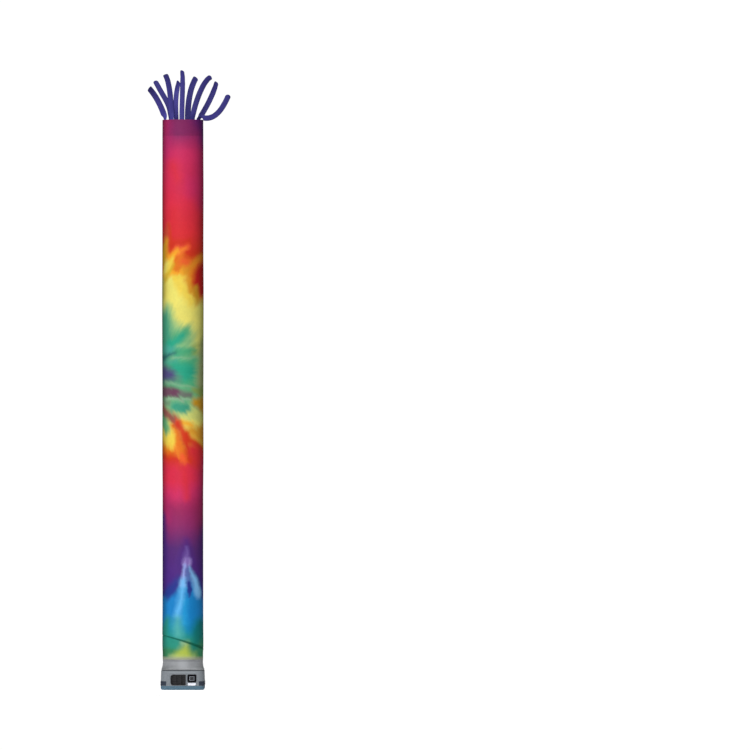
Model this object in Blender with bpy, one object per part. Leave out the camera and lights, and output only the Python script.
"""An inflatable air dancer standing on its blower.

A printed cloth tube, open at the top, stands full of air on the round collar of an electric blower.
Nine plain streamers are sewn inside the tube's top hem and stream up out of it.

Units are metres, +Z is up and the front panel of the blower faces -Y. The origin is the middle of the
blower's flat underside, which is also the tube's axis.
"""

import math

import bmesh
import bpy
from mathutils import Matrix, Vector
from mathutils.geometry import interpolate_bezier

# Driving dimensions
TUBE_RADIUS = 0.2285  # an 18 inch tube
CLOTH = 0.0015  # thickness of every cloth sheet
RIM_Z = 6.376  # top edge of the cloth tube
HEM_Z = 0.339  # bottom edge of the cloth tube
TOP_HEM = 0.180  # depth of the cloth turned in at the top edge
GAP = 0.0003  # between two pieces that touch

BLOWER_HALF = 0.2460  # half the width of the blower at its foot
SHOULDER_HALF = 0.2395  # and at the top of its lower housing
CORNER = 0.062  # radius of the blower's upright corners
TRAY_Z = 0.0457  # top of the foot tray
SHOULDER_Z = 0.2215  # seam between the lower housing and the outlet shell
COLLAR_Z = 0.425  # top of the outlet collar
COLLAR_RADIUS = 0.2245
WELL_RADIUS = 0.2125  # inside of the collar
WELL_FLOOR_Z = 0.236

SIDES = 48  # points round the blower, its collar and the tube
PER_QUARTER = SIDES // 4
PER_CORNER = PER_QUARTER // 2  # steps along each rounded corner


# Materials and small tools


def material(name, colour, roughness, metallic=0.0):
    made = bpy.data.materials.new(name)
    made.use_nodes = True
    shader = made.node_tree.nodes["Principled BSDF"]
    shader.inputs["Base Color"].default_value = (*colour, 1.0)
    shader.inputs["Roughness"].default_value = roughness
    shader.inputs["Metallic"].default_value = metallic
    return made


def add_object(name, bm, look, smooth_angle=math.radians(35)):
    """Makes an object of a finished bmesh, shaded smooth but for its sharp edges."""
    bmesh.ops.recalc_face_normals(bm, faces=bm.faces)
    mesh = bpy.data.meshes.new(name)
    bm.to_mesh(mesh)
    bm.free()
    mesh.shade_smooth()
    mesh.set_sharp_from_angle(angle=smooth_angle)
    made = bpy.data.objects.new(name, mesh)
    bpy.context.scene.collection.objects.link(made)
    if look:
        mesh.materials.append(look)
    return made


def loft(rings, loop=False):
    """A closed skin over rings of as many points each: end to end if loop, and capped if not."""
    bm = bmesh.new()
    rows = [[bm.verts.new(point) for point in ring] for ring in rings]
    pairs = list(zip(rows, rows[1:] + rows[:1])) if loop else list(zip(rows, rows[1:]))
    for low, high in pairs:
        for i in range(len(low)):
            j = (i + 1) % len(low)
            bm.faces.new((low[i], low[j], high[j], high[i]))
    if not loop:
        bm.faces.new(rows[0])
        bm.faces.new(rows[-1])
    return bm


def rounded_outline(width, height, radii, steps=6):
    """A rectangle round its middle as (x, z) points, with its corner radii from top right, anticlockwise."""
    points = []
    ways = ((1, 1), (-1, 1), (-1, -1), (1, -1))
    for quarter, ((right, up), radius) in enumerate(zip(ways, radii)):
        middle = Vector((right * (width / 2 - radius), up * (height / 2 - radius)))
        for step in range(steps + 1):
            turn = math.radians(90) * (quarter + step / steps)
            points.append(middle + radius * Vector((math.cos(turn), math.sin(turn))))
    return points


def boxes(spans):
    """Separate blocks in one bmesh, each given by its low and high corner."""
    bm = bmesh.new()
    for low, high in spans:
        middle = (Vector(low) + Vector(high)) / 2
        size = Matrix.Diagonal(Vector(high) - Vector(low)).to_4x4()
        bmesh.ops.create_cube(bm, size=1.0, matrix=Matrix.Translation(middle) @ size)
    return bm


def helper(name, bm):
    """A cutting shape, which is no piece of the object."""
    made = add_object(name, bm, None)
    made.hide_render = True
    made.display_type = "WIRE"
    return made


def cut(target, cutter, operation="DIFFERENCE"):
    modifier = target.modifiers.new(cutter.name, "BOOLEAN")
    modifier.operation = operation
    modifier.solver = "EXACT"
    modifier.object = cutter


# Outlines round the upright axis


def circle(radius, z, slope=0.0, pinch=0.0):
    """A ring of points. slope tips it about Y, and pinch draws its front in."""
    ring = []
    for i in range(SIDES):
        turn = 2 * math.pi * i / SIDES
        reach = radius - pinch * (1 - math.sin(turn)) / 2
        x = reach * math.cos(turn)
        ring.append(Vector((x, reach * math.sin(turn), z + slope * x)))
    return ring


def rounded_square(half, z, corner=CORNER, grow=0.0):
    """A ring of points that starts at the middle of the +X side. grow sets it off outwards."""
    flat = half - corner
    ring = []
    for quarter in range(4):
        turned = Matrix.Rotation(math.radians(90) * quarter, 3, "Z")
        for i in range(PER_QUARTER):
            side = (PER_QUARTER - PER_CORNER) // 2
            if i < side:
                point = Vector((half + grow, flat * i / side, 0))
            elif i <= side + PER_CORNER:
                turn = math.radians(90) * (i - side) / PER_CORNER
                reach = corner + grow
                point = Vector((flat + reach * math.cos(turn), flat + reach * math.sin(turn), 0))
            else:
                point = Vector((flat * (PER_QUARTER - i) / side, half + grow, 0))
            ring.append(turned @ point + Vector((0, 0, z)))
    return ring


def housing_half(z):
    """Half the width of the tapered lower housing at a height."""
    rise = (z - TRAY_Z) / (SHOULDER_Z - TRAY_Z)
    return BLOWER_HALF + (SHOULDER_HALF - BLOWER_HALF) * rise


def blend(a, b, share):
    return [p.lerp(q, share) for p, q in zip(a, b)]


# The cloth tube: one printed panel, seamed into a tube and hemmed at both ends. Air holds it nearly
# round. A slanting crease crosses its front just above the blower, where the tube sways on its foot.

ON_COLLAR = COLLAR_RADIUS + GAP + CLOTH

TUBE_SECTIONS = (
    # height, outer radius, slope, pinch
    (HEM_Z, ON_COLLAR, 0.0, 0.0),
    (COLLAR_Z - 0.010, ON_COLLAR, 0.0, 0.0),
    (0.445, 0.2282, -0.02, 0.0),
    (0.485, 0.2296, -0.13, 0.0),
    (0.520, 0.2298, -0.24, 0.0012),
    (0.538, 0.2290, -0.28, 0.0036),
    (0.548, 0.2284, -0.30, 0.0062),
    (0.558, 0.2292, -0.295, 0.0036),
    (0.576, 0.2300, -0.28, 0.0010),
    (0.630, 0.2302, -0.23, 0.0),
    (0.740, 0.2292, -0.13, 0.0),
    (0.920, 0.2286, -0.03, 0.0),
    (1.200, 0.2282, 0.0, 0.0),
    (1.570, 0.2272, 0.0, 0.0),
    (2.130, 0.2279, 0.0, 0.0),
    (2.690, 0.2307, 0.0, 0.0),
    (3.240, 0.2298, 0.0, 0.0),
    (3.800, 0.2313, 0.0, 0.0),
    (4.360, 0.2325, 0.0, 0.0),
    (4.920, 0.2304, 0.0, 0.0),
    (5.480, 0.2310, 0.0, 0.0),
    (6.040, 0.2294, 0.0, 0.0),
    (RIM_Z - TOP_HEM - 0.004, TUBE_RADIUS + 0.0004, 0.0, 0.0),
    (RIM_Z - TOP_HEM, TUBE_RADIUS + 0.0004, 0.0, 0.0),
    (RIM_Z, TUBE_RADIUS, 0.0, 0.0),
)


def cloth_tube(look):
    outer = [circle(radius, z, slope, pinch) for z, radius, slope, pinch in TUBE_SECTIONS]
    inner = []
    for z, radius, slope, pinch in TUBE_SECTIONS:
        layers = 2 if z >= RIM_Z - TOP_HEM else 1
        inner.append(circle(radius - layers * CLOTH, z, slope, pinch))
    return add_object("cloth_tube", loft(outer + inner[::-1], loop=True), look)


# The streamers: nine strips of plain cloth, cut by hand to much the same size. Each is sewn inside the
# top hem. The air that leaves the tube bends it over, turns its flat side to the front and lets its tip
# curl.

STREAMER_LENGTH = 0.570  # above the rim
STREAMER_SEWN = 0.026
STREAMER_STEPS = 18
HEM_INSIDE = (TUBE_RADIUS - 2 * CLOTH) * math.cos(math.pi / SIDES) - GAP
ACROSS = (-1.0, -0.5, 0.0, 0.5, 1.0)  # places across a streamer, in half widths
CUP = 0.0040  # how far the edges of a free streamer stand out of its middle
TIP_ROUNDING = ((1.0, 0.032), (0.91, 0.017), (0.66, 0.006), (0.32, 0.0))  # share of width, way to the end
TURN_RUN = 0.15  # how far it takes to turn to the front, in shares of its free length
CURL_START = 0.55  # where its tip starts to curl

STREAMERS = (
    # root angle, width, upright run; bend x, y, height; tip x, y, height; where it turns, curl of the tip
    (-153, 0.065, 0.061, (-0.283, -0.244, 0.256), (-0.372, -0.499, 0.346), 0.0, 12),
    (128.5, 0.059, 0.187, (-0.202, 0.271, 0.222), (-0.324, 0.442, 0.455), 0.02, 20),
    (-124, 0.061, 0.165, (-0.139, -0.278, 0.426), (-0.195, -0.408, 0.501), 0.02, -15),
    (110.5, 0.056, 0.076, (-0.102, 0.317, 0.260), (-0.056, 0.544, 0.453), 0.02, 35),
    (-92, 0.056, 0.211, (0.011, -0.258, 0.438), (-0.005, -0.351, 0.546), 0.02, -34),
    (77, 0.066, 0.091, (0.051, 0.297, 0.338), (0.143, 0.464, 0.492), 0.02, 12),
    (-60.5, 0.062, 0.087, (0.216, -0.260, 0.445), (0.327, -0.367, 0.472), 0.02, 20),
    (38, 0.061, 0.030, (0.315, 0.209, 0.200), (0.374, 0.450, 0.453), 0.01, -36),
    (-38, 0.062, 0.095, (0.350, -0.293, -0.151), (0.529, -0.423, 0.294), 0.05, 10),
)


def eased(share):
    share = min(max(share, 0.0), 1.0)
    return share * share * (3 - 2 * share)


def point_along(line, distance):
    """The point that lies a distance along a line of points, or its last point."""
    for a, b in zip(line, line[1:]):
        step = (b - a).length
        if distance <= step:
            return a.lerp(b, distance / step)
        distance -= step
    return line[-1]


def streamer_rows(root_angle, width, upright, bend, tip, turn_start, tip_curl):
    """Rows of points across a streamer, from its sewn end to its tip."""
    turn = math.radians(root_angle)
    outward = Vector((math.cos(turn), math.sin(turn), 0))
    hem_way = Vector((-math.sin(turn), math.cos(turn), 0))
    if hem_way.x < 0:
        hem_way.negate()
    root = outward * (HEM_INSIDE - CLOTH / 2) + Vector((0, 0, RIM_Z))
    bend, tip = (Vector(knot) + Vector((0, 0, RIM_Z)) for knot in (bend, tip))
    line = interpolate_bezier(root, root + Vector((0, 0, upright)), bend, tip, 200)
    length = min(STREAMER_LENGTH, sum((b - a).length for a, b in zip(line, line[1:])))

    body = length - TIP_ROUNDING[0][1]
    stations = [(body * (i / STREAMER_STEPS) ** 1.5, 1.0) for i in range(STREAMER_STEPS)]
    stations += [(length - from_end, share) for share, from_end in TIP_ROUNDING]
    middles = [root - Vector((0, 0, STREAMER_SEWN)), root - Vector((0, 0, STREAMER_SEWN / 2))]
    middles += [point_along(line, distance) for distance, _ in stations]
    stations = [(0.0, 1.0), (0.0, 1.0)] + stations

    rows = []
    for i, (distance, width_share) in enumerate(stations):
        along = middles[min(i + 1, len(middles) - 1)] - middles[max(i - 1, 0)]
        along.normalize()
        share = distance / length
        fronted = eased((share - turn_start) / TURN_RUN)
        across = hem_way.lerp(Vector((0, 1, 0)).cross(along).normalized(), fronted)
        across = (across - along * across.dot(along)).normalized()
        curl = math.radians(tip_curl) * eased((share - CURL_START) / (1 - CURL_START))
        across = Matrix.Rotation(curl, 3, along) @ across
        face = across.cross(along)
        inward = face if root_angle > 0 else -face
        half = width * width_share / 2
        hem_cup = half * half / (2 * HEM_INSIDE)
        cup = (hem_cup + (CUP - hem_cup) * fronted) * width_share**2
        rows.append([middles[i] + across * (k * half) + inward * (cup * k * k) for k in ACROSS])
    return rows


def streamer(name, row, look):
    bm = bmesh.new()
    rows = [[bm.verts.new(point) for point in line] for line in streamer_rows(*row)]
    for low, high in zip(rows, rows[1:]):
        for i in range(len(ACROSS) - 1):
            bm.faces.new((low[i], low[i + 1], high[i + 1], high[i]))
    made = add_object(name, bm, look)
    thick = made.modifiers.new("cloth", "SOLIDIFY")
    thick.thickness = CLOTH
    thick.offset = 0.0
    return made


# The blower: a moulded foot tray, a tapered square housing and an outlet shell that turns the square
# into a round collar. The shell is hollow down to a plain floor.

TRAY_EDGE = ((0.0, 0.0210), (0.0050, 0.0090), (0.0130, 0.0024), (0.0220, 0.0))  # height, set in


def foot_tray(look):
    rings = [rounded_square(BLOWER_HALF, z, grow=-inset) for z, inset in TRAY_EDGE]
    rings.append(rounded_square(BLOWER_HALF, TRAY_Z))
    return add_object("foot_tray", loft(rings), look)


SEAM_HALF, SEAM_DEEP = 0.0075, 0.0070  # the groove where the shell meets the housing


def lower_housing(look):
    low, high = TRAY_Z + GAP, SHOULDER_Z
    rings = [rounded_square(housing_half(z), z) for z in (low, high - SEAM_HALF)]
    rings.append(rounded_square(housing_half(high), high, grow=-SEAM_DEEP))
    return add_object("lower_housing", loft(rings), look)


FLARE_TOP_Z = 0.290
FLARE_TOP_RADIUS = 0.2265
BEAD = 0.0024  # how far the bead stands out of the collar, just under the hem
COLLAR_PROFILE = (
    # height, radius
    (0.296, COLLAR_RADIUS),
    (0.3015, COLLAR_RADIUS),
    (0.3025, COLLAR_RADIUS - 0.0014),
    (0.3055, COLLAR_RADIUS - 0.0014),
    (0.3065, COLLAR_RADIUS),
    (0.3120, COLLAR_RADIUS),
    (0.3130, COLLAR_RADIUS - 0.0014),
    (0.3160, COLLAR_RADIUS - 0.0014),
    (0.3170, COLLAR_RADIUS),
    (0.3220, COLLAR_RADIUS),
    (0.3240, COLLAR_RADIUS + BEAD * 0.8),
    (0.3275, COLLAR_RADIUS + BEAD),
    (0.3310, COLLAR_RADIUS + BEAD * 0.8),
    (0.3330, COLLAR_RADIUS),
    (COLLAR_Z - 0.004, COLLAR_RADIUS),
    (COLLAR_Z, COLLAR_RADIUS - 0.003),
)


def outlet_shell(look):
    low = SHOULDER_Z + GAP
    rings = [rounded_square(SHOULDER_HALF, low, grow=-SEAM_DEEP)]
    steps = 6
    for i in range(steps + 1):
        t = i / steps
        z = low + SEAM_HALF + (FLARE_TOP_Z - low - SEAM_HALF) * t
        share = 1 - (1 - t) ** 2
        square = rounded_square(SHOULDER_HALF, z)
        rings.append(blend(square, circle(FLARE_TOP_RADIUS, z), share))
    rings += [circle(radius, z) for z, radius in COLLAR_PROFILE]
    rings.append(circle(WELL_RADIUS + 0.003, COLLAR_Z))
    rings.append(circle(WELL_RADIUS, COLLAR_Z - 0.004))
    rings.append(circle(WELL_RADIUS, WELL_FLOOR_Z + 0.012))
    rings.append(circle(WELL_RADIUS - 0.012, WELL_FLOOR_Z))
    return add_object("outlet_shell", loft(rings), look)


# The front panel, on the tapered front of the lower housing: an air intake behind a grille, and a
# rocker switch in a black plate over a bare label plate, each in its own raised frame. They are drawn
# with -Y outwards, in the panel's own frame, which lies in the raised frames' face and leans back with
# the housing. A place is an x and a height on the panel, and a size is a width and a height.

PANEL_Z = 0.115
PANEL_PROUD = 0.0030
PANEL_LEAN = math.atan((BLOWER_HALF - SHOULDER_HALF) / (SHOULDER_Z - TRAY_Z))
FRAME_CHAMFER = 0.0035
RAISED_FRAMES = (
    # place, size, corner
    ((-0.0490, 0.0000), (0.1900, 0.1330), 0.0120),
    ((0.1045, 0.0000), (0.1120, 0.1330), 0.0120),
)

GRILLE_AT = (-0.0490, -0.0030)
GRILLE_SIZE = (0.1720, 0.1210)
GRILLE_CORNERS = (0.006, 0.032, 0.032, 0.006)  # from the top right, anticlockwise
GRILLE_THICK = 0.0050
GRILLE_RIM = 0.0080
GRILLE_COLUMNS, GRILLE_ROWS = 3, 5
GRILLE_POST, GRILLE_SLAT = 0.0065, 0.0050
INTAKE_DEEP = 0.034

PLATE_AT = (0.1045, 0.0145)
PLATE_SIZE = (0.1010, 0.0880)
PLATE_CORNER = 0.0150
PLATE_DEEP, PLATE_PROUD = 0.0040, 0.0018
PLATE_CHAMFER = 0.0012

BEZEL_SIZE = (0.0560, 0.0460)
BEZEL_CORNER = 0.0040
BEZEL_DEEP, BEZEL_PROUD = 0.0060, 0.0040
SWITCH_HOLE = (0.0430, 0.0342)
SWITCH_WELL_DEEP = 0.0160

ROCKER_REACH = SWITCH_HOLE[1] / 2 - GAP  # radius of its rounded ends, about its axis
ROCKER_FACE = 0.0062  # its face's ends, in front of the axis
ROCKER_DISH = 0.0018  # how far its face is hollowed at the middle
ROCKER_BACK = (0.0080, 0.0080)  # its back edge: behind the axis, and above and below it
ROCKER_REST = math.radians(-8)  # its top is pressed in: on

LABEL_AT = (0.1040, -0.0510)
LABEL_SIZE = (0.0860, 0.0260)
LABEL_CORNER = 0.0030
LABEL_THICK = 0.0012
LABEL_BED = 0.0006


def front_panel():
    """The empty that carries the pieces of the front panel."""
    made = bpy.data.objects.new("front_panel", None)
    bpy.context.scene.collection.objects.link(made)
    made.location = (0, -housing_half(PANEL_Z) - PANEL_PROUD, PANEL_Z)
    made.rotation_euler = (-PANEL_LEAN, 0, 0)
    return made


def slab(size, corner, near, far, grow=0.0):
    """A rounded rectangle drawn out along Y from near to far, its sides set off outwards by grow."""
    corners = corner if isinstance(corner, tuple) else (corner,) * 4
    wide, high = size[0] + 2 * grow, size[1] + 2 * grow
    outline = rounded_outline(wide, high, [max(radius + grow, 0.0005) for radius in corners])
    return loft([[(x, y, z) for x, z in outline] for y in (near, far)])


def chamfered_slab(size, corner, near, far, chamfer):
    """A slab whose near face is set in all round by a chamfer."""
    rings = []
    for y, grow in ((near, -chamfer), (near + chamfer, 0.0), (far, 0.0)):
        outline = rounded_outline(size[0] + 2 * grow, size[1] + 2 * grow, [corner + grow] * 4)
        rings.append([(x, y, z) for x, z in outline])
    return loft(rings)


def on_panel(made, panel, at):
    made.parent = panel
    made.location = (at[0], 0, at[1])
    return made


def shape_panel(housing, panel):
    """Raises the two frames on the housing, and sinks the beds that the panel's pieces sit in."""
    for number, (at, size, corner) in enumerate(RAISED_FRAMES, 1):
        frame = chamfered_slab(size, corner, 0.0, 0.012, FRAME_CHAMFER)
        cut(housing, on_panel(helper(f"raised_frame_{number}", frame), panel, at), "UNION")
    beds = (
        # name, place, size, corner, depth, grow
        ("grille_bed", GRILLE_AT, GRILLE_SIZE, GRILLE_CORNERS, GRILLE_THICK + GAP, GAP),
        ("intake", GRILLE_AT, GRILLE_SIZE, GRILLE_CORNERS, INTAKE_DEEP, -GRILLE_RIM / 2),
        ("plate_bed", PLATE_AT, PLATE_SIZE, PLATE_CORNER, PLATE_DEEP + GAP, GAP),
        ("bezel_bed", PLATE_AT, BEZEL_SIZE, BEZEL_CORNER, BEZEL_DEEP + GAP, GAP),
        ("switch_well", PLATE_AT, SWITCH_HOLE, 0.001, SWITCH_WELL_DEEP, GAP),
        ("label_bed", LABEL_AT, LABEL_SIZE, LABEL_CORNER, LABEL_BED, GAP),
    )
    for name, at, size, corner, deep, grow in beds:
        bed = helper(name, slab(size, corner, -0.02, deep, grow))
        cut(housing, on_panel(bed, panel, at))


def intake_grille(panel, look):
    width, height = GRILLE_SIZE
    plate = add_object("intake_grille", slab(GRILLE_SIZE, GRILLE_CORNERS, 0.0, GRILLE_THICK), look)
    inside = helper("grille_inside", slab(GRILLE_SIZE, GRILLE_CORNERS, -0.01, 0.01, -GRILLE_RIM))
    cell_wide = (width - 2 * GRILLE_RIM - (GRILLE_COLUMNS - 1) * GRILLE_POST) / GRILLE_COLUMNS
    cell_high = (height - 2 * GRILLE_RIM - (GRILLE_ROWS - 1) * GRILLE_SLAT) / GRILLE_ROWS
    spans = []
    for column in range(GRILLE_COLUMNS):
        left = -width / 2 + GRILLE_RIM + column * (cell_wide + GRILLE_POST)
        for row in range(GRILLE_ROWS):
            low = -height / 2 + GRILLE_RIM + row * (cell_high + GRILLE_SLAT)
            spans.append(((left, -0.009, low), (left + cell_wide, 0.009, low + cell_high)))
    cells = helper("grille_cells", boxes(spans))
    cut(cells, inside, "INTERSECT")
    cut(plate, cells)
    for made in (plate, cells, inside):
        on_panel(made, panel, GRILLE_AT)
    return plate


def switch_plate(panel, look):
    form = chamfered_slab(PLATE_SIZE, PLATE_CORNER, -PLATE_PROUD, PLATE_DEEP, PLATE_CHAMFER)
    plate = on_panel(add_object("switch_plate", form, look), panel, PLATE_AT)
    hole = helper("plate_hole", slab(BEZEL_SIZE, BEZEL_CORNER, -0.01, 0.01, GAP))
    cut(plate, on_panel(hole, panel, PLATE_AT))
    return plate


def switch_bezel(panel, look):
    form = chamfered_slab(BEZEL_SIZE, BEZEL_CORNER, -BEZEL_PROUD, BEZEL_DEEP, PLATE_CHAMFER)
    bezel = on_panel(add_object("switch_bezel", form, look), panel, PLATE_AT)
    width, height = SWITCH_HOLE
    hole = helper("bezel_hole", boxes([((-width / 2, -0.01, -height / 2), (width / 2, 0.01, height / 2))]))
    cut(bezel, on_panel(hole, panel, PLATE_AT))
    return bezel


def rocker(panel, look):
    """A rocker with a dished face and round ends, on its axis through the middle of the bezel."""
    face_turn = math.acos(ROCKER_FACE / ROCKER_REACH)
    back_turn = math.radians(112)
    steps = 5
    upper = [(-ROCKER_FACE + ROCKER_DISH, 0.0)]
    for i in range(steps + 1):
        turn = face_turn + (back_turn - face_turn) * i / steps
        upper.append((-ROCKER_REACH * math.cos(turn), ROCKER_REACH * math.sin(turn)))
    upper.append(ROCKER_BACK)
    side = upper + [(y, -z) for y, z in upper[:0:-1]]
    half = SWITCH_HOLE[0] / 2 - GAP
    form = loft([[(x, y, z) for y, z in side] for x in (-half, half)])
    made = on_panel(add_object("rocker", form, look), panel, PLATE_AT)
    made.rotation_euler = (ROCKER_REST, 0, 0)
    return made


def label_plate(panel, look):
    form = slab(LABEL_SIZE, LABEL_CORNER, LABEL_BED - GAP - LABEL_THICK, LABEL_BED - GAP)
    return on_panel(add_object("label_plate", form, look), panel, LABEL_AT)


# Rubber pads round the four lower corners of the housing, each with a groove for a tie-down strap.

PAD_THICK = 0.0026
PAD_LOW, PAD_HIGH = 0.0490, 0.0980
PAD_GROOVE_Z, PAD_GROOVE_HALF, PAD_GROOVE_DEEP = 0.0735, 0.0035, 0.0012


def corner_pad(name, quarter, look):
    edge = 0.0025
    profile = [
        (PAD_LOW, PAD_THICK - 0.0012),
        (PAD_LOW + edge, PAD_THICK),
        (PAD_GROOVE_Z - PAD_GROOVE_HALF - 0.001, PAD_THICK),
        (PAD_GROOVE_Z - PAD_GROOVE_HALF, PAD_THICK - PAD_GROOVE_DEEP),
        (PAD_GROOVE_Z + PAD_GROOVE_HALF, PAD_THICK - PAD_GROOVE_DEEP),
        (PAD_GROOVE_Z + PAD_GROOVE_HALF + 0.001, PAD_THICK),
        (PAD_HIGH - edge, PAD_THICK),
        (PAD_HIGH, PAD_THICK - 0.0012),
    ]
    start = quarter * PER_QUARTER + (PER_QUARTER - PER_CORNER) // 2
    columns = range(start, start + PER_CORNER + 1)
    outer = [rounded_square(housing_half(z), z, grow=thick) for z, thick in profile]
    inner = [rounded_square(housing_half(z), z, grow=GAP) for z in (PAD_HIGH, PAD_LOW)]
    rings = [[ring[i] for ring in outer + inner] for i in columns]
    return add_object(name, loft(rings), look)


# The mains gland in the back wall, closed by its cap.

GLAND_AT = (0.135, 0.095)  # x and height
GLAND_PROFILE = (
    # radius, distance out of the wall
    (0.0150, GAP),
    (0.0150, 0.0045),
    (0.0115, 0.0055),
    (0.0115, 0.0150),
    (0.0090, 0.0180),
    (0.0045, 0.0192),
)


def mains_gland(look):
    sides = 20
    rings = []
    for radius, out in GLAND_PROFILE:
        turns = [2 * math.pi * i / sides for i in range(sides)]
        rings.append([(radius * math.cos(t), out, radius * math.sin(t)) for t in turns])
    made = add_object("mains_gland", loft(rings), look)
    x, z = GLAND_AT
    made.location = (x, housing_half(z), z)
    made.rotation_euler = (PANEL_LEAN, 0, 0)
    return made


def main():
    for old in list(bpy.data.objects):
        bpy.data.objects.remove(old)

    printed = material("printed_nylon", (0.62, 0.05, 0.11), 0.55)
    violet = material("violet_nylon", (0.055, 0.032, 0.245), 0.60)
    grey = material("grey_housing", (0.27, 0.28, 0.30), 0.50)
    slate = material("slate_tray", (0.085, 0.130, 0.175), 0.55)
    black = material("black_plastic", (0.012, 0.012, 0.014), 0.45)
    pale = material("pale_plastic", (0.55, 0.56, 0.58), 0.40)
    white = material("white_label", (0.86, 0.86, 0.88), 0.45)
    rubber = material("corner_rubber", (0.022, 0.023, 0.028), 0.70)

    cloth_tube(printed)
    for number, row in enumerate(STREAMERS, 1):
        streamer(f"streamer_{number}", row, violet)

    foot_tray(slate)
    housing = lower_housing(grey)
    outlet_shell(grey)
    panel = front_panel()
    shape_panel(housing, panel)
    intake_grille(panel, black)
    switch_plate(panel, black)
    switch_bezel(panel, pale)
    rocker(panel, black)
    label_plate(panel, white)
    corners = ("back_right", "back_left", "front_left", "front_right")
    for quarter, corner in enumerate(corners):
        corner_pad(f"pad_{corner}", quarter, rubber)
    mains_gland(black)


main()
